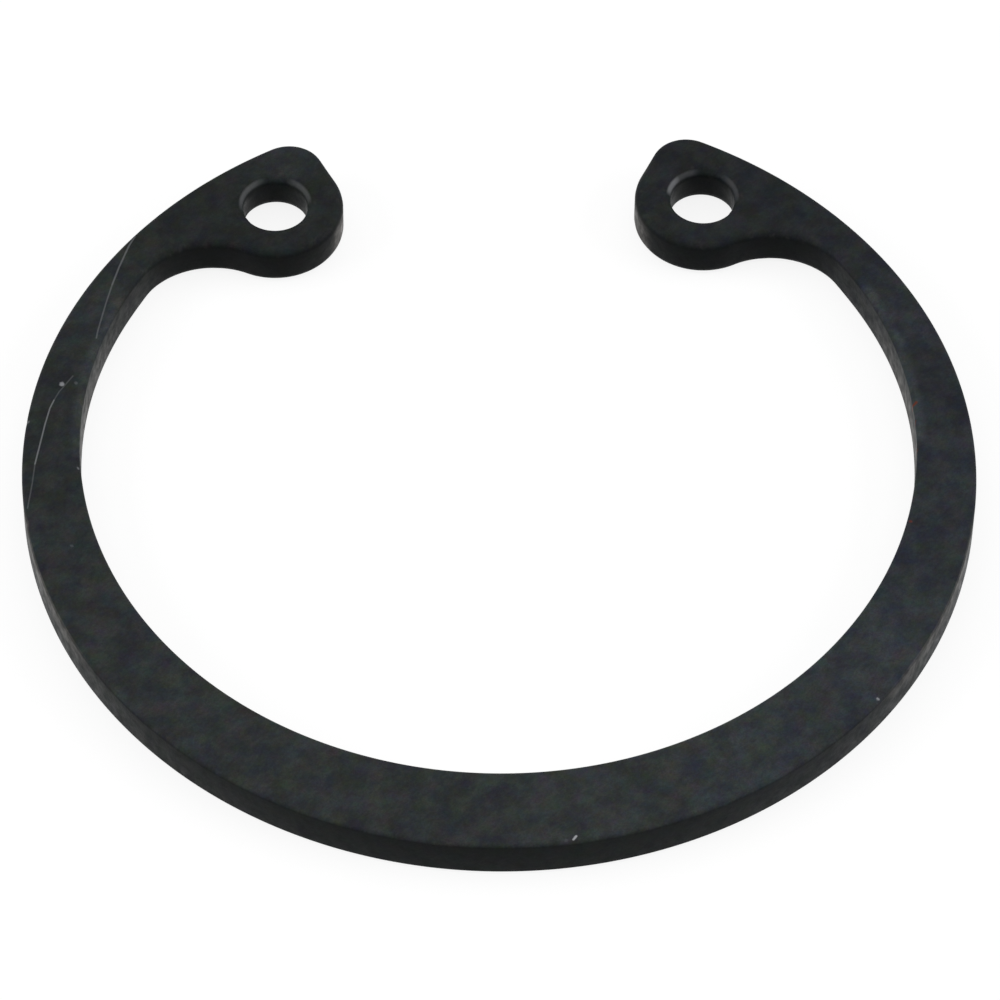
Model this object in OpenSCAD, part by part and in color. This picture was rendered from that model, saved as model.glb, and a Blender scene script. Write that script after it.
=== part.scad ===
// Internal retaining ring with two plier lugs, blanked from flat spring steel.
// It lies on its underside at Z = 0, round the Z axis, with the gap towards +Y.

/* [Ring] */
// Outside diameter of the relaxed ring
free_d = 43.5; // [42:0.25:46]
// Thickness of the steel
thickness = 2; // [1.5:0.05:2.5]
// Width of the band opposite the gap
band_back_w = 4.05; // [3.2:0.05:4.8]
// Width that the band narrows to on the gap side
band_tip_w = 1.2; // [1:0.1:1.8]

/* [Lugs] */
// Angle from the middle of the gap to the outer corner of each lug
corner_angle = 28; // [22:0.5:50]
// Radius of the outer corner of a lug
corner_r = 1.7; // [1.25:0.05:2.25]
// Length of the flat end of a lug, from its outer corner to its round nose
end_flat = 1.4; // [0.8:0.1:2]
// Diameter of the plier holes
hole_d = 3; // [2.5:0.1:3.4]
// Width of the steel between a hole and the nose round it
nose_w = 1.7; // [1.3:0.1:2.2]
// Radius of the hollow between a lug and the band
bay_r = 3.7; // [2.8:0.1:5]

/* [Edges] */
// Rounding of the band's outline, at the top and the underside
edge_r = 0.2; // [0.1:0.05:0.3]
// Rounding of the nose, flat end and hollow of the lugs, which tumbling wears more
lug_edge_r = 0.4; // [0.1:0.05:0.5]
// Rounding of the rims of the plier holes
hole_edge_r = 0.5; // [0.2:0.05:0.6]
// Lap of one round form over the next, where their walls run together
lap = 0.01; // [0.005:0.005:0.02]

/* [Hidden] */
$fn = 180;

rim_r = free_d / 2;
inner_r = rim_r - (band_back_w + band_tip_w) / 2;
inner_shift = (band_back_w - band_tip_w) / 2;
hole_r = hole_d / 2;
nose_r = hole_r + nose_w;
outside_r = 2 * rim_r;

// The rounding of the flat end starts this far outside its face, so that the two cross
end_lap = lap / 4;

// Centres of the round forms of the right-hand lug
corner_c = turned([0, rim_r - corner_r + lap]);
hole_c = turned([nose_r - corner_r, rim_r - corner_r + lap - end_flat]);
inner_c = [0, inner_shift];
bay_c = crossing(inner_c, inner_r - bay_r + lap, hole_c, nose_r + bay_r - lap);

// Place of a point that is given in a frame turned so that the outer corner lies on +Y
function turned(p) =
    let (c = cos(corner_angle), s = sin(corner_angle))
    [c * p.x + s * p.y, c * p.y - s * p.x];

// Where circles round a and b cross, on the right-hand side from a to b
function crossing(a, ra, b, rb) =
    let (d = norm(b - a), u = (b - a) / d, along = (ra * ra - rb * rb + d * d) / (2 * d))
    a + along * u + sqrt(ra * ra - along * along) * [u.y, -u.x];

// Section of the steel from the axis out to w, with its two outer edges rounded
module rounded_section(w, round_r) {
    difference() {
        square([w, thickness]);
        translate([w - round_r, thickness - round_r]) corner_waste(round_r);
        translate([w - round_r, round_r]) mirror([0, 1]) corner_waste(round_r);
    }
}

module corner_waste(round_r) {
    difference() {
        square(2 * round_r);
        circle(round_r);
    }
}

module rounded_disc(r, round_r) {
    rotate_extrude() rounded_section(r, round_r);
}

// What an opening with rounded edges takes out of the steel
module rounded_opening(r, round_r) {
    rotate_extrude()
        difference() {
            translate([0, -1]) square([r + round_r, thickness + 2]);
            translate([r + 2 * round_r, 0]) mirror([1, 0]) rounded_section(2 * round_r, round_r);
        }
}

module through(low = -1) {
    translate([0, 0, low]) linear_extrude(thickness - 2 * low) children();
}

// The eccentric band, cut open between the outer corners of the lugs
module band() {
    difference() {
        rounded_disc(rim_r, edge_r);
        translate(inner_c) rounded_opening(inner_r, edge_r);
        through() polygon([[0, 0], 2 * corner_c, [-2 * corner_c.x, 2 * corner_c.y]]);
    }
}

module outer_corner() {
    translate(corner_c) rounded_disc(corner_r, edge_r);
}

// The round nose, which stops inside the web and clear of the rim
module nose() {
    translate(hole_c) difference() {
        rounded_disc(nose_r, lug_edge_r);
        rotate(-corner_angle) through()
            translate([-outside_r, end_flat / 2]) square([2 * outside_r, outside_r]);
    }
}

// Steel between the round forms, from the flat end of the lug to the hollow
module web() {
    corner_end = corner_c + turned([lap - corner_r, 0]);
    nose_end = hole_c + turned([lap - nose_r, 0]);
    band_end = bay_c + outside_r * (bay_c - inner_c) / norm(bay_c - inner_c);
    difference() {
        through(0) intersection() {
            circle(rim_r - 2 * edge_r);
            polygon([corner_end, nose_end, hole_c, bay_c, band_end, 2 * corner_c, corner_c]);
        }
        translate(bay_c) rounded_opening(bay_r, lug_edge_r);
        flat_end_waste();
    }
}

// What the rounded edges take off the flat end
module flat_end_waste() {
    translate(corner_c) rotate(-corner_angle) translate([lap - end_lap - corner_r + lug_edge_r, 1])
        rotate([90, 0, 0]) linear_extrude(end_flat + 2) {
            translate([0, thickness - lug_edge_r]) mirror([1, 0]) corner_waste(lug_edge_r);
            translate([0, lug_edge_r]) rotate(180) corner_waste(lug_edge_r);
        }
}

module lug() {
    outer_corner();
    nose();
    web();
}

module plier_hole() {
    translate(hole_c) rounded_opening(hole_r, hole_edge_r);
}

module retaining_ring() {
    color([0.19, 0.2, 0.21]) difference() {
        union() {
            band();
            lug();
            mirror([1, 0]) lug();
        }
        plier_hole();
        mirror([1, 0]) plier_hole();
    }
}

retaining_ring();
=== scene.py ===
import bpy
import bmesh
import math
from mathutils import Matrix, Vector


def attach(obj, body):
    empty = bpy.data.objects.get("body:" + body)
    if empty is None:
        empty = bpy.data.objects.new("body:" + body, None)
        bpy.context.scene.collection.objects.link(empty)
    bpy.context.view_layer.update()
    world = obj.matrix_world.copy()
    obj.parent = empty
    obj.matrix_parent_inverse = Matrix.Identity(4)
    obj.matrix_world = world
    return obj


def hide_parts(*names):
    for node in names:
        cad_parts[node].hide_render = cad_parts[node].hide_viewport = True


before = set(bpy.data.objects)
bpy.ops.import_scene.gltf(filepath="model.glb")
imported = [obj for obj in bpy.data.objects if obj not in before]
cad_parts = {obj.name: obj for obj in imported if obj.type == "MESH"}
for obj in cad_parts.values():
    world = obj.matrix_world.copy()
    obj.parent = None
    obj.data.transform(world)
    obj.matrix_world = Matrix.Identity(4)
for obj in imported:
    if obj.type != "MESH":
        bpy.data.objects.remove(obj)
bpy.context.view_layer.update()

mm = 0.001


# camera
photoCamera = {
    "place": (-7.565, -184.102, 228.999),       # mm
    "turn": (38.6909, -0.4908, -1.7565),        # degrees
    "lens": 230.856,
    "nearest": 10,                              # mm
}


def addCamera(spec):
    bpy.ops.object.select_all(action="DESELECT")
    bpy.ops.object.camera_add(
        location=[v * mm for v in spec["place"]],
        rotation=[math.radians(v) for v in spec["turn"]])
    camera = bpy.context.object
    camera.name = "photoCamera"
    camera.data.lens = spec["lens"]
    camera.data.clip_start = spec["nearest"] * mm
    bpy.context.scene.camera = camera


addCamera(photoCamera)
print("camera placed")


# ring
ringSpec = {                    # mm
    "rimRadius": 21.75,
    "thickness": 2.0,
    "backWidth": 4.05,          # band opposite the gap
    "tipWidth": 1.2,            # width that the band narrows to on the gap side
    "cornerAngle": 28,          # degrees from the middle of the gap
    "cornerRadius": 1.7,
    "endFlat": 1.4,
    "holeRadius": 1.5,
    "noseWidth": 1.7,
    "bayRadius": 3.7,
    "bandRounding": 0.2,
    "lugRounding": 0.4,
    "holeRounding": 0.5,
    "splitRim": 48,             # degrees at which band and lug meet, on the rim
    "splitBay": 92,             # the same in the hollow, round its own centre
    "steps": {                  # along each arc, across band and lug, round an edge, and passes of easing
        "rim": 276, "rimEnd": 32, "corner": 20, "flat": 8, "nose": 54, "bay": 9, "bayEnd": 32, "inner": 244,
        "bandCuts": 2, "lugCuts": 2, "rounding": 5, "easing": 12},
    "nicks": [                  # place on the top edge, how far it reaches, how deep it goes
        ((2.6, -21.6), 0.4, 0.09), ((16.3, -14.2), 0.3, 0.07), ((-21.5, 2.7), 0.35, 0.06),
        ((-21.6, -3.2), 0.5, 0.07), ((-20.3, -7.6), 0.4, 0.05), ((18.6, -4.1), 0.3, 0.05),
        ((19.1, 2.8), 0.35, 0.06), ((20.6, -6.9), 0.45, 0.05)],
    "edgeSlope": (0.15, 0.97),  # how far a point's normal stands up where the steel is rounded
    "wallSlope": 0.8,           # and below which it counts as wall, more and more
}


def heading(start, end):
    return math.degrees(math.atan2(end.y - start.y, end.x - start.x))


def polar(centre, radius, degrees):
    return centre + radius * Vector((math.cos(math.radians(degrees)), math.sin(math.radians(degrees))))


# centres of the arcs of the right-hand half
def findCentres(s):
    noseRadius = s["holeRadius"] + s["noseWidth"]
    innerRadius = s["rimRadius"] - (s["backWidth"] + s["tipWidth"]) / 2
    inner = Vector((0, (s["backWidth"] - s["tipWidth"]) / 2))
    corner = polar(Vector((0, 0)), s["rimRadius"] - s["cornerRadius"], 90 - s["cornerAngle"])
    hole = polar(corner, s["endFlat"], -90 - s["cornerAngle"])
    hole = polar(hole, noseRadius - s["cornerRadius"], -s["cornerAngle"])
    a, b = innerRadius - s["bayRadius"], noseRadius + s["bayRadius"]
    line = hole - inner
    along = (a * a - b * b + line.length_squared) / (2 * line.length)
    unit = line.normalized()
    bay = inner + unit * along + math.sqrt(a * a - along * along) * Vector((unit.y, -unit.x))
    return {"rim": Vector((0, 0)), "corner": corner, "hole": hole, "inner": inner, "bay": bay,
            "innerRadius": innerRadius}


def spinOn(centre, degrees, steps):
    bpy.ops.mesh.spin(steps=steps, angle=-math.radians(degrees), axis=(0, 0, 1),
                      center=(centre.x * mm, centre.y * mm, 0))


def pickEdges(piece, test):
    bpy.ops.mesh.select_mode(type="EDGE")
    bpy.ops.mesh.select_all(action="DESELECT")
    mesh = bmesh.from_edit_mesh(piece.data)
    for edge in mesh.edges:
        middle = (edge.verts[0].co + edge.verts[1].co) / 2 / mm
        edge.select_set(test(edge, middle.xy))
    bmesh.update_edit_mesh(piece.data)


# one point drawn round the right-hand half, arc by arc
def drawOutline(s, n, c):
    turn = 90 - s["cornerAngle"]
    noseEnd = heading(c["hole"], c["bay"])
    bayStart, bayEnd = heading(c["bay"], c["hole"]), heading(c["inner"], c["bay"])
    bpy.ops.transform.translate(value=(0, -s["rimRadius"] * mm, 0))
    spinOn(c["rim"], s["splitRim"] + 90, n["rim"])
    spinOn(c["rim"], turn - s["splitRim"], n["rimEnd"])
    spinOn(c["corner"], 90, n["corner"])
    step = polar(Vector((0, 0)), s["endFlat"] * mm / n["flat"], turn - 180)
    for _ in range(n["flat"]):
        bpy.ops.mesh.extrude_vertices_move(TRANSFORM_OT_translate={"value": (step.x, step.y, 0)})
    spinOn(c["hole"], noseEnd + 360 - (turn + 90), n["nose"])
    spinOn(c["bay"], s["splitBay"] - bayStart, n["bay"])
    spinOn(c["bay"], bayEnd - s["splitBay"], n["bayEnd"])
    spinOn(c["inner"], -90 - bayEnd, n["inner"])


def addRing(s):
    n, c = s["steps"], findCentres(s)
    bpy.ops.object.select_all(action="DESELECT")
    bpy.ops.mesh.primitive_plane_add(size=mm)
    ring = bpy.context.object
    ring.name = "steelRing"
    bpy.ops.object.mode_set(mode="EDIT")
    bpy.ops.mesh.select_mode(type="VERT")
    bpy.ops.mesh.merge(type="CENTER")
    drawOutline(s, n, c)

    # the line that parts the lug from the band
    splitIn = polar(c["bay"], s["bayRadius"], s["splitBay"])
    split = polar(c["rim"], s["rimRadius"], s["splitRim"]) - splitIn
    slack = 0.01

    def lugward(place):
        return split.cross(place - splitIn)

    # band between the split line and the middle of the back
    pickEdges(ring, lambda edge, place: lugward(place) < -slack)
    bpy.ops.mesh.bridge_edge_loops(number_cuts=n["bandCuts"], interpolation="LINEAR")

    # lug, drawn in from its outline to the round plier hole
    middle = (c["hole"].x * mm, c["hole"].y * mm, 0)
    pickEdges(ring, lambda edge, place: lugward(place) > -slack and len(edge.link_faces) < 2)
    bpy.ops.mesh.extrude_edges_move(TRANSFORM_OT_translate={"value": (0, 0, 0)})
    bpy.ops.transform.tosphere(value=1, center_override=middle)
    mesh = bmesh.from_edit_mesh(ring.data)
    radius = next((vert.co - Vector(middle)).length for vert in mesh.verts if vert.select)
    shrink = s["holeRadius"] * mm / radius
    bpy.ops.transform.resize(value=(shrink, shrink, shrink), center_override=middle)
    pickEdges(ring, lambda edge, place: lugward(place) > slack and len(edge.link_faces) == 2)
    bpy.ops.mesh.subdivide(number_cuts=n["lugCuts"])
    mergeDoubles()
    bpy.ops.object.modifier_add(type="MIRROR")
    ring.modifiers["Mirror"].merge_threshold = 0.005 * mm
    bpy.ops.object.modifier_apply(modifier="Mirror")

    bpy.ops.object.mode_set(mode="EDIT")
    bpy.ops.mesh.select_all(action="SELECT")
    bpy.ops.mesh.extrude_region_move(TRANSFORM_OT_translate={"value": (0, 0, s["thickness"] * mm)})
    bpy.ops.mesh.select_all(action="SELECT")
    bpy.ops.mesh.normals_make_consistent(inside=False)
    roundEdges(ring, s, n, c)
    dentEdge(ring, s)
    bpy.ops.object.mode_set(mode="EDIT")
    mergeDoubles()
    bpy.ops.object.shade_smooth()
    markZones(ring, s)
    bpy.ops.object.modifier_add(type="WEIGHTED_NORMAL")
    bpy.ops.object.modifier_apply(modifier="WeightedNormal")
    return ring


# from edit mode back to object mode, with every double merged and the faces outward
def mergeDoubles():
    bpy.ops.mesh.select_all(action="SELECT")
    bpy.ops.mesh.remove_doubles(threshold=0.001 * mm)
    bpy.ops.mesh.normals_make_consistent(inside=False)
    bpy.ops.object.mode_set(mode="OBJECT")


# each edge takes the rounding of the form it belongs to, eased over its neighbours
def roundEdges(ring, s, n, c):
    def formRounding(place):
        place = Vector((abs(place.x), place.y))
        if (place - c["hole"]).length < s["holeRadius"] + 0.1:
            return s["holeRounding"]
        onRim = place.length > s["rimRadius"] - 0.02
        onCorner = (place - c["corner"]).length < s["cornerRadius"] + 0.01
        onInner = abs((place - c["inner"]).length - c["innerRadius"]) < 0.01
        return s["bandRounding"] if onRim or onCorner or onInner else s["lugRounding"]

    mesh = bmesh.from_edit_mesh(ring.data)
    weights = mesh.edges.layers.float.new("bevel_weight_edge")
    edges = [edge for edge in mesh.edges if edge.calc_face_angle(0) > 1]
    size = {edge: formRounding((edge.verts[0].co + edge.verts[1].co).xy / 2 / mm) for edge in edges}
    beside = {edge: [other for vert in edge.verts for other in vert.link_edges if other in size]
              for edge in edges}
    for _ in range(n["easing"]):
        size = {edge: sum(size[other] for other in beside[edge]) / len(beside[edge]) for edge in edges}
    for edge in edges:
        edge[weights] = size[edge] / s["holeRounding"]
    bmesh.update_edit_mesh(ring.data)
    bpy.ops.object.mode_set(mode="OBJECT")
    bpy.ops.object.modifier_add(type="BEVEL")
    bevel = ring.modifiers["Bevel"]
    bevel.limit_method = "WEIGHT"
    bevel.width = s["holeRounding"] * mm
    bevel.segments = n["rounding"]
    bevel.use_clamp_overlap = False
    bpy.ops.object.modifier_apply(modifier="Bevel")


# small dents in the top edge
def dentEdge(ring, s):
    bpy.ops.object.mode_set(mode="EDIT")
    bpy.ops.mesh.select_mode(type="VERT")
    for (x, y), reach, depth in s["nicks"]:
        bpy.ops.mesh.select_all(action="DESELECT")
        place = Vector((x, y, s["thickness"])) * mm
        mesh = bmesh.from_edit_mesh(ring.data)
        nearest = min(mesh.verts, key=lambda vert: (vert.co - place).length)
        push = -nearest.normal * depth * mm
        nearest.select_set(True)
        bmesh.update_edit_mesh(ring.data)
        bpy.ops.transform.translate(value=push, use_proportional_edit=True,
                                    proportional_edit_falloff="SHARP", proportional_size=reach * mm)
    bpy.ops.object.mode_set(mode="OBJECT")


# which points lie on the rounded edges and which on the walls, for the steel to use
def markZones(ring, s):
    edgeZone = ring.data.attributes.new("edgeZone", "FLOAT", "POINT")
    wallZone = ring.data.attributes.new("wallZone", "FLOAT", "POINT")
    low, high = s["edgeSlope"]
    for vert in ring.data.vertices:
        up = abs(vert.normal.z)
        edgeZone.data[vert.index].value = 1 if low < up < high else 0
        wallZone.data[vert.index].value = max(0, 1 - up / s["wallSlope"])


ring = addRing(ringSpec)
print("ring made", len(ring.data.polygons), "faces")


# nodes
def newMaterial(name):
    material = bpy.data.materials.new(name)
    material.use_nodes = True
    material.node_tree.nodes.clear()
    return material, material.node_tree


def addNode(tree, kind, inputs=None, **settings):
    node = tree.nodes.new(kind)
    for name, value in settings.items():
        setattr(node, name, value)
    for name, value in (inputs or {}).items():
        if isinstance(value, bpy.types.NodeSocket):
            tree.links.new(value, node.inputs[name])
        else:
            node.inputs[name].default_value = value
    return node


def compute(tree, operation, a, b=0.0):
    return addNode(tree, "ShaderNodeMath", {0: a, 1: b}, operation=operation).outputs[0]


def together(tree, operation, values):
    total = values[0]
    for value in values[1:]:
        total = compute(tree, operation, total, value)
    return total


def combine(tree, operation, a, b):
    return addNode(tree, "ShaderNodeVectorMath", {0: a, 1: b}, operation=operation)


def scaled(tree, vector, amount):
    return addNode(tree, "ShaderNodeVectorMath", {0: vector, 3: amount}, operation="SCALE").outputs[0]


def stretched(tree, vector, amount, shift):
    return addNode(tree, "ShaderNodeVectorMath", {0: vector, 1: (amount,) * 3, 2: shift},
                   operation="MULTIPLY_ADD").outputs[0]


def blend(tree, factor, a, b):
    return addNode(tree, "ShaderNodeMix", {0: factor, 6: a, 7: b}, data_type="RGBA").outputs[2]


def between(tree, factor, a, b):
    return addNode(tree, "ShaderNodeMix", {0: factor, 2: a, 3: b}).outputs[0]


def ease(tree, value, low, high, least=0.0, most=1.0):
    return addNode(tree, "ShaderNodeMapRange", {"Value": value, "From Min": low, "From Max": high,
                                                "To Min": least, "To Max": most},
                   interpolation_type="SMOOTHSTEP").outputs[0]


def noise(tree, place, scale, detail=2.0, roughness=0.5, output=0):
    return addNode(tree, "ShaderNodeTexNoise", {"Vector": place, "Scale": scale, "Detail": detail,
                                                "Roughness": roughness}).outputs[output]


# steel
steelSpec = {                   # colours are linear, lengths in mm
    "blueGrey": (0.0180, 0.0192, 0.0230, 1),
    "greenGrey": (0.0174, 0.0219, 0.0202, 1),
    "paleGrey": (0.0262, 0.0298, 0.0296, 1),
    # painted shade: the walls a darker grey than the top
    "wallShadeGrey": (0.0062, 0.0080, 0.0080, 1),
    "wearAndSheenBeige": (0.30, 0.28, 0.26, 1),
    "bareSteelAndHighlight": (0.40, 0.41, 0.43, 1),
    "rustRed": (0.12, 0.026, 0.012, 1),
    "blotchSize": 1.1,
    "blotchRange": (0.36, 0.68),
    "hueSize": 0.75,
    "hueRange": (0.4, 0.6),
    "tint": 1.15,               # how far the fine patches differ in colour
    "grainTurn": 48,            # degrees
    "grainScale": (3.0, 5.6, 4.0),      # per mm, along the grain, across it and down the walls
    "grainTone": (0.88, 1.12),
    "speckleScale": 11.0,
    "speckleTone": (0.90, 1.10),
    "lugShade": 0.53,            # painted shade: the lugs darker than the back of the band
    "lugShadeReach": (-14.0, 14.0),  # where along the ring that comes in
    "boreTone": 1.3,            # tone inside the plier holes against the walls
    "rightTint": (1.0, 1.02, 1.15, 1),  # the coat turns bluer towards the right
    "rightReach": (2.0, 18.0),
    "brokenScale": 1.9,         # patches that break up the wear
    "edgeWear": 0.03,
    "raggedScale": 6.0,         # for the outlines of the chips
    "raggedReach": 0.12,
    "roughness": (0.5, 0.62),
    "wallRoughness": (0.60, 0.25),      # torn and smooth patches of the blanked wall
    "specular": 0.05,
    "relief": {"grain": 0.5, "speckle": 0.3, "blotch": 1.2, "bareAndHighlit": -0.8},
    "reliefStrength": 0.6,
    "reliefDepth": 0.02,
    "scratches": [              # places along the top, width, strength
        ([(-16.67, 13.79), (-16.95, 13.2), (-17.4, 11.9), (-17.72, 10.81)], 0.06, 0.17),
        ([(-17.72, 10.81), (-17.99, 9.72), (-18.35, 8.08), (-18.42, 7.6)], 0.055, 0.13),
        ([(-19.48, 5.34), (-20.11, 4.4), (-20.33, 3.92)], 0.05, 0.09),
        ([(-20.33, 3.92), (-20.51, 3.45), (-20.72, 2.51), (-20.89, 1.57), (-21.15, 0.16)], 0.05, 0.28),
        ([(-21.15, 0.16), (-21.25, -0.9), (-21.35, -1.7), (-21.45, -2.4)], 0.05, 0.10),
        ([(2.57, -21.42), (2.69, -21.25)], 0.08, 0.75),
        ([(-21.66, -2.6, 1.85), (-21.50, -3.9, 1.88), (-21.20, -5.3, 1.88)], 0.10, 0.30)],
    "chips": [                  # place, radius, strength
        ((-19.98, 4.87, 2.0), 0.15, 0.45), ((-19.33, 4.92, 2.0), 0.12, 0.10),
        ((-19.16, -0.12, 2.0), 0.10, 0.25), ((-19.41, -4.63, 2.0), 0.12, 0.07),
        ((-21.50, 2.70, 1.9), 0.14, 0.22), ((2.25, -21.46, 1.98), 0.12, 0.05),
        ((16.34, -14.10, 1.98), 0.11, 0.5)],
    "rust": [                   # a run down the wall from place to place, width, strength
        ([(19.08, 2.72, 1.55), (19.12, 2.78, 1.9), (19.24, 2.86, 2.0)], 0.11, 0.8),
        ([(19.12, 1.84, 1.95), (19.12, 1.66, 1.75)], 0.10, 0.4),
        ([(19.08, 0.14, 1.95), (19.08, -0.05, 1.75)], 0.10, 0.35),
        ([(18.50, -4.10, 2.0), (18.50, -4.10, 1.6)], 0.12, 0.6)],
    "polished": [               # along the inner top edge, width, how much paler
        ([(-17.33, 9.51), (-18.47, 6.37), (-19.05, 3.09), (-19.1, 1.0)], 0.68, 0.85),
        ([(17.33, 9.51), (18.47, 6.37), (19.05, 3.09), (19.1, 1.0)], 0.68, 0.85)],
    # wear and painted sheen: paler stretches of the walls
    "wearAndSheen": [                   # where, degrees round its centre, half width of the stretch, strength
        ("rim", -162, 16, 0.18), ("rim", -25, 18, 0.16), ("inner", 172, 20, 0.15), ("inner", 8, 20, 0.15),
        ("leftNose", -12, 26, 0.36), ("rightNose", 196, 24, 0.22)],
    "rubbedAndHighlit": [                 # the same for painted highlights on the rims of the plier holes
        ("leftHole", 150, 48, 0.17), ("leftHole", 34, 38, 0.13),
        ("rightHole", 150, 26, 0.34), ("rightHole", 126, 38, 0.11), ("rightHole", 20, 36, 0.09)],
    "pale": [                   # broad paler stretches of the coat: place, radius, how much paler
        ((-18.6, 9.6, 1.0), 7.0, 0.68), ((18.6, 8.8, 1.0), 6.5, 0.55), ((3.5, -20.0, 1.0), 6.0, 0.20),
        ((10.5, -17.5, 1.0), 6.5, 0.26), ((17.0, -11.5, 1.0), 6.0, 0.26), ((20.0, -1.0, 1.0), 4.5, 0.20),
        ((-9.6, 18.3, 1.0), 2.8, 1.1)],
}


def makeLineMark():             # how near a place is to the line between two points
    group = bpy.data.node_groups.new("lineMark", "ShaderNodeTree")
    for name in ("Place", "Start", "End"):
        group.interface.new_socket(name, in_out="INPUT", socket_type="NodeSocketVector")
    group.interface.new_socket("Width", in_out="INPUT", socket_type="NodeSocketFloat")
    group.interface.new_socket("Mask", in_out="OUTPUT", socket_type="NodeSocketFloat")
    inside, result = addNode(group, "NodeGroupInput"), addNode(group, "NodeGroupOutput")
    place, start, end, width = inside.outputs[:4]
    toPlace = combine(group, "SUBTRACT", place, start).outputs[0]
    line = combine(group, "SUBTRACT", end, start).outputs[0]
    along = compute(group, "DIVIDE", combine(group, "DOT_PRODUCT", toPlace, line).outputs[1],
                    combine(group, "DOT_PRODUCT", line, line).outputs[1])
    along = addNode(group, "ShaderNodeClamp", {0: along}).outputs[0]
    away = combine(group, "DISTANCE", toPlace, scaled(group, line, along)).outputs[1]
    group.links.new(ease(group, compute(group, "DIVIDE", away, width), 1.0, 0.3), result.inputs[0])
    return group


lineMark = makeLineMark()


def spotMask(tree, place, spots, core=0.4):
    masks = []
    for spot, radius, strength in spots:
        away = combine(tree, "DISTANCE", place, spot).outputs[1]
        masks.append(ease(tree, away, radius, radius * core, 0.0, strength))
    return together(tree, "MAXIMUM", masks)


def lineMask(tree, place, lines, s):
    masks = []
    for points, width, strength in lines:
        points = [(*point, s["thickness"])[:3] for point in points]
        for start, end in zip(points, points[1:]):
            mark = addNode(tree, "ShaderNodeGroup", node_tree=lineMark)
            tree.links.new(place, mark.inputs["Place"])
            mark.inputs["Start"].default_value = start
            mark.inputs["End"].default_value = end
            mark.inputs["Width"].default_value = width
            masks.append(compute(tree, "MULTIPLY", mark.outputs[0], strength))
    return together(tree, "MAXIMUM", masks)


# stretches of a wall or of a hole's rim made paler: wear and painted sheen on the walls, painted highlights
# on the rims
def wearAndSheenMask(tree, at, stretches, s):
    hole = findCentres(s)["hole"]
    left, right = (-hole.x, hole.y, 0), (hole.x, hole.y, 0)
    centre = {"rim": (0, 0, 0), "inner": (0, 0, 0), "leftNose": left, "rightNose": right,
              "leftHole": left, "rightHole": right}
    # mm from the centre, and the heights between which the wear comes up
    noseRadius = s["holeRadius"] + s["noseWidth"]
    reach = {"rim": (s["rimRadius"] - 0.5, s["rimRadius"] + 0.1), "inner": (18.3, 20.6),
             "nose": (noseRadius - 0.5, noseRadius + 0.1),
             "hole": (s["holeRadius"] + 0.04, s["holeRadius"] + 0.20)}
    rise = {"rim": (0.95, 1.35), "inner": (2.0, 0.8), "nose": (1.85, 1.2), "hole": (1.45, 1.65)}
    masks = []
    for where, degrees, half, strength in stretches:
        kind = where.replace("left", "").replace("right", "").lower()
        near, far = reach[kind]
        out = combine(tree, "SUBTRACT", at["flat"], centre[where]).outputs[0]
        away = combine(tree, "LENGTH", out, (0, 0, 0)).outputs[1]
        unit = combine(tree, "NORMALIZE", out, (0, 0, 0)).outputs[0]
        ahead = (math.cos(math.radians(degrees)), math.sin(math.radians(degrees)), 0)
        around = combine(tree, "DOT_PRODUCT", unit, ahead).outputs[1]
        masks.append(together(tree, "MULTIPLY", [
            ease(tree, around, math.cos(math.radians(half)), 1.0, 0.0, strength),
            ease(tree, away, near - 0.04, near + 0.04),
            ease(tree, away, far + 0.06, far - 0.06),
            ease(tree, at["height"], *rise[kind])]))
    return together(tree, "MAXIMUM", masks)


# where on the ring the surface is, in mm
def findPlace(tree):
    coords = addNode(tree, "ShaderNodeTexCoord").outputs["Object"]
    place = addNode(tree, "ShaderNodeMapping", {"Vector": coords, "Scale": (1 / mm,) * 3}).outputs[0]
    sideways, across, height = addNode(tree, "ShaderNodeSeparateXYZ", {0: place}).outputs[:3]
    return {"place": place, "sideways": sideways, "across": across, "height": height,
            "flat": combine(tree, "MULTIPLY", place, (1, 1, 0)).outputs[0],
            "edgeZone": addNode(tree, "ShaderNodeAttribute", attribute_name="edgeZone").outputs["Fac"],
            "wallZone": addNode(tree, "ShaderNodeAttribute", attribute_name="wallZone").outputs["Fac"]}


# soft blotches of the phosphate coat, its fine patches of other tints and its short slanting grain
def coatPattern(tree, place, look):
    moved = combine(tree, "ADD", place, (31.0, -17.0, 5.0)).outputs[0]
    slant = (0, 0, math.radians(-look["grainTurn"]))
    turned = addNode(tree, "ShaderNodeMapping", {"Vector": place, "Rotation": slant}).outputs[0]
    slanted = combine(tree, "MULTIPLY", turned, look["grainScale"]).outputs[0]
    return {"blotch": noise(tree, place, 1 / look["blotchSize"], 4.0, 0.6),
            "hue": noise(tree, moved, 1 / look["hueSize"], 3.0, 0.6),
            "tint": noise(tree, moved, 1 / look["hueSize"], 4.0, 0.75, output=1),
            "grain": noise(tree, slanted, 1.0, 3.0, 0.65),
            "speckle": noise(tree, place, look["speckleScale"], 2.0, 0.6),
            "broken": noise(tree, place, look["brokenScale"], 3.0, 0.6)}


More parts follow.
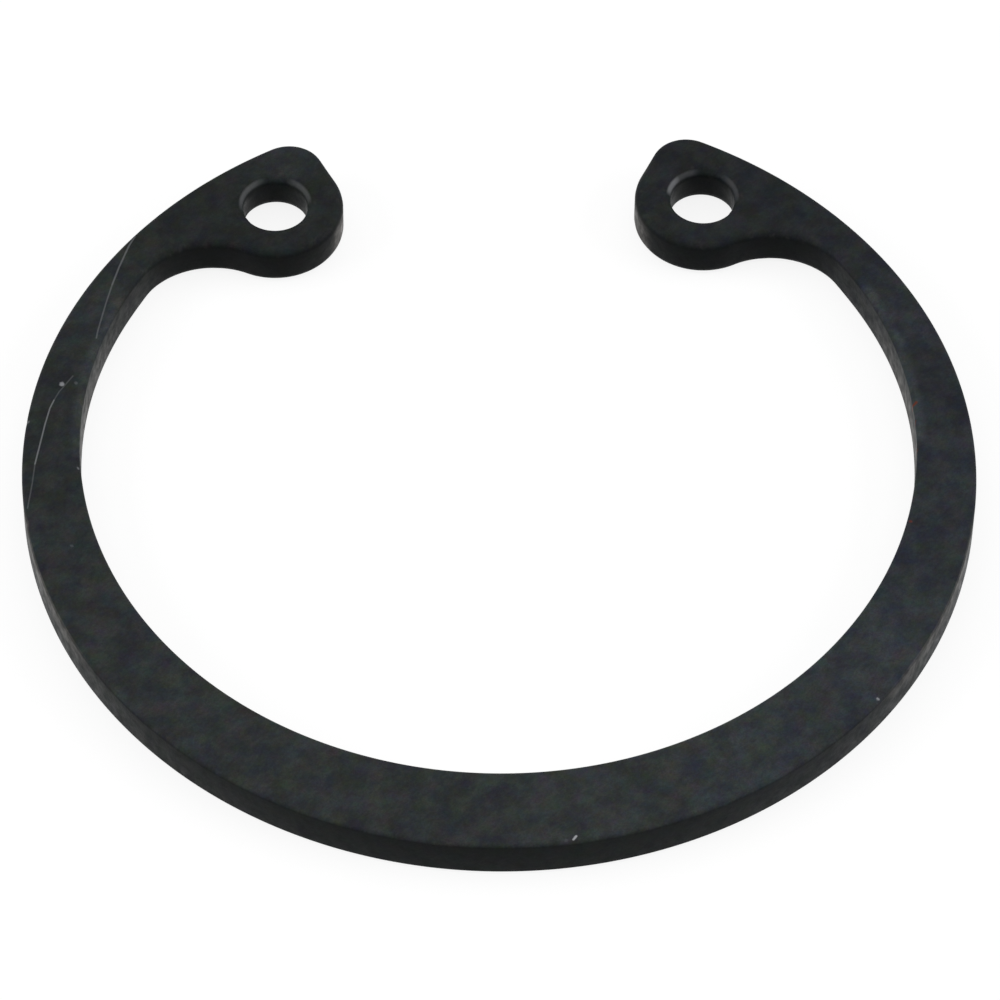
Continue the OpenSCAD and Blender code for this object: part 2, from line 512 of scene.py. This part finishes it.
def coatColor(tree, at, pattern, look, s):
    color = blend(tree, ease(tree, pattern["hue"], *look["hueRange"]), look["blueGrey"], look["greenGrey"])
    color = blend(tree, ease(tree, pattern["blotch"], *look["blotchRange"]), color, look["paleGrey"])
    # painted shade: the walls take a darker grey than the top
    color = blend(tree, ease(tree, at["wallZone"], 0.1, 1.0), color, look["wallShadeGrey"])
    tint = stretched(tree, pattern["tint"], look["tint"], (1 - look["tint"] / 2,) * 3)
    color = combine(tree, "MULTIPLY", color, tint).outputs[0]
    cast = blend(tree, ease(tree, at["sideways"], *look["rightReach"]), (1, 1, 1, 1), look["rightTint"])
    color = combine(tree, "MULTIPLY", color, cast).outputs[0]

    hole = findCentres(s)["hole"]
    oneSide = compute(tree, "ABSOLUTE", at["sideways"])
    mirrored = addNode(tree, "ShaderNodeCombineXYZ", {0: oneSide, 1: at["across"]}).outputs[0]
    away = combine(tree, "DISTANCE", mirrored, (hole.x, hole.y, 0)).outputs[1]
    paler = together(tree, "ADD", [
        spotMask(tree, at["place"], look["pale"], 0.0),
        lineMask(tree, at["place"], look["polished"], s),
        1.0])
    # painted shade of the lugs, times the coat's own grain, speckle, paler stretches and tone in the holes
    shadeAndTone = together(tree, "MULTIPLY", [
        ease(tree, at["across"], *look["lugShadeReach"], 1.0, look["lugShade"]),
        ease(tree, pattern["grain"], 0.3, 0.7, *look["grainTone"]),
        ease(tree, pattern["speckle"], 0.3, 0.7, *look["speckleTone"]),
        ease(tree, away, 1.7, 1.5, 1.0, look["boreTone"]),
        paler])
    return scaled(tree, color, shadeAndTone)


def makeSteel(look, s):
    material, tree = newMaterial("phosphatedSteel")
    at = findPlace(tree)
    pattern = coatPattern(tree, at["place"], look)
    color = coatColor(tree, at, pattern, look, s)

    # wear of the edges, wear and painted sheen on the walls, rust, then bare steel and painted highlights
    # on the hole rims
    patchy = ease(tree, pattern["broken"], 0.52, 0.75, 0.0, look["edgeWear"])
    rubbedAndHighlit = compute(tree, "MULTIPLY", at["edgeZone"], patchy)
    wearAndSheen = together(tree, "MULTIPLY", [
        wearAndSheenMask(tree, at, look["wearAndSheen"], s),
        ease(tree, at["wallZone"], 0.0, 0.25),
        ease(tree, pattern["broken"], 0.35, 0.70, 0.5, 1.2)])
    color = blend(tree, compute(tree, "MAXIMUM", rubbedAndHighlit, wearAndSheen), color, look["wearAndSheenBeige"])
    color = blend(tree, lineMask(tree, at["place"], look["rust"], s), color, look["rustRed"])
    shifted = combine(tree, "SUBTRACT", at["place"], (look["raggedReach"] / 2,) * 3).outputs[0]
    ragged = noise(tree, at["place"], look["raggedScale"], output=1)
    ragged = stretched(tree, ragged, look["raggedReach"], shifted)
    # bare steel at scratches and chips, and painted highlights on the rims of the plier holes
    bareAndHighlit = together(tree, "MAXIMUM", [
        lineMask(tree, at["place"], look["scratches"], s),
        spotMask(tree, ragged, look["chips"]),
        wearAndSheenMask(tree, at, look["rubbedAndHighlit"], s)])
    color = blend(tree, bareAndHighlit, color, look["bareSteelAndHighlight"])

    low, high = look["roughness"]
    roughness = ease(tree, pattern["blotch"], 0.35, 0.65, high, low)
    wavy = compute(tree, "ADD", compute(tree, "MULTIPLY", pattern["broken"], 0.6),
                   compute(tree, "MULTIPLY", at["height"], 0.04))
    wallRoughness = ease(tree, wavy, 0.08, 0.60, *look["wallRoughness"])
    roughness = between(tree, ease(tree, at["wallZone"], 0.2, 0.8), roughness, wallRoughness)
    heights = {**pattern, "bareAndHighlit": bareAndHighlit}
    relief = together(tree, "ADD", [compute(tree, "MULTIPLY", heights[name], amount)
                                    for name, amount in look["relief"].items()])
    bump = addNode(tree, "ShaderNodeBump", {"Height": relief, "Strength": look["reliefStrength"],
                                            "Distance": look["reliefDepth"] * mm})
    shader = addNode(tree, "ShaderNodeBsdfPrincipled", {
        "Base Color": color, "Roughness": roughness, "Normal": bump.outputs[0],
        "Specular IOR Level": look["specular"]})
    addNode(tree, "ShaderNodeOutputMaterial", {"Surface": shader.outputs[0]})
    return material


ring.data.materials.append(makeSteel(steelSpec, ringSpec))
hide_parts("retaining_ring")
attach(ring, "root")
print("steel made")


# floor, world and lamps
studio = {                      # metres and watts
    "floorSize": 3.0,
    "floorDrop": 0.02 * mm,     # keeps the floor and the underside of the ring apart
    "floorColor": (0.62, 0.62, 0.62, 1),
    "floorWhite": 1.15,         # emission that the camera sees mixed with the lit floor
    "floorMix": 0.75,
    "worldStrength": 0.25,
    "topPlace": (0.0, 0.35, 1.15),
    "topSize": (1.8, 1.8),
    "topPower": 9.5,
    "sidePlace": (1.1, -0.05, 0.62),
    "sideSize": (0.55, 1.0),    # height and length along the ring's sides
    "sidePower": 7.5,
}


# rays that see the white background: from the camera, or by way of metal or glass
def seesWhite(tree):
    path = addNode(tree, "ShaderNodeLightPath").outputs
    rays = [path["Is Camera Ray"], path["Is Glossy Ray"], path["Is Transmission Ray"]]
    return together(tree, "MAXIMUM", rays)


def addFloor(spec):
    bpy.ops.object.select_all(action="DESELECT")
    bpy.ops.mesh.primitive_plane_add(size=spec["floorSize"], location=(0, 0, -spec["floorDrop"]))
    floor = bpy.context.object
    floor.name = "floor"
    material, tree = newMaterial("paleFloor")
    plain = addNode(tree, "ShaderNodeBsdfDiffuse", {"Color": spec["floorColor"]}).outputs[0]
    white = addNode(tree, "ShaderNodeEmission", {"Strength": spec["floorWhite"]}).outputs[0]
    seen = addNode(tree, "ShaderNodeMixShader", {0: spec["floorMix"], 1: plain, 2: white}).outputs[0]
    mix = addNode(tree, "ShaderNodeMixShader", {0: seesWhite(tree), 1: plain, 2: seen}).outputs[0]
    addNode(tree, "ShaderNodeOutputMaterial", {"Surface": mix})
    floor.data.materials.append(material)


def addWorld(spec):
    world = bpy.data.worlds.new("studioWorld")
    bpy.context.scene.world = world
    world.use_nodes = True
    tree = world.node_tree
    tree.nodes.clear()
    strength = between(tree, seesWhite(tree), spec["worldStrength"], 1.0)
    light = addNode(tree, "ShaderNodeBackground", {"Color": (1, 1, 1, 1), "Strength": strength})
    addNode(tree, "ShaderNodeOutputWorld", {"Surface": light.outputs[0]})


def addLamp(name, place, size, power):
    bpy.ops.object.select_all(action="DESELECT")
    bpy.ops.object.light_add(type="AREA", location=place)
    lamp = bpy.context.object
    lamp.name = name
    lamp.data.shape = "RECTANGLE"
    lamp.data.size_y, lamp.data.size = size
    lamp.data.energy = power
    lamp.rotation_euler = (-Vector(place)).to_track_quat("-Z", "Y").to_euler()


addFloor(studio)
addWorld(studio)
x, y, z = studio["sidePlace"]
addLamp("rightLamp", (x, y, z), studio["sideSize"], studio["sidePower"])
addLamp("leftLamp", (-x, y, z), studio["sideSize"], studio["sidePower"])
addLamp("topLamp", studio["topPlace"], studio["topSize"], studio["topPower"])
bpy.context.scene.view_settings.view_transform = "Standard"
print("studio set")
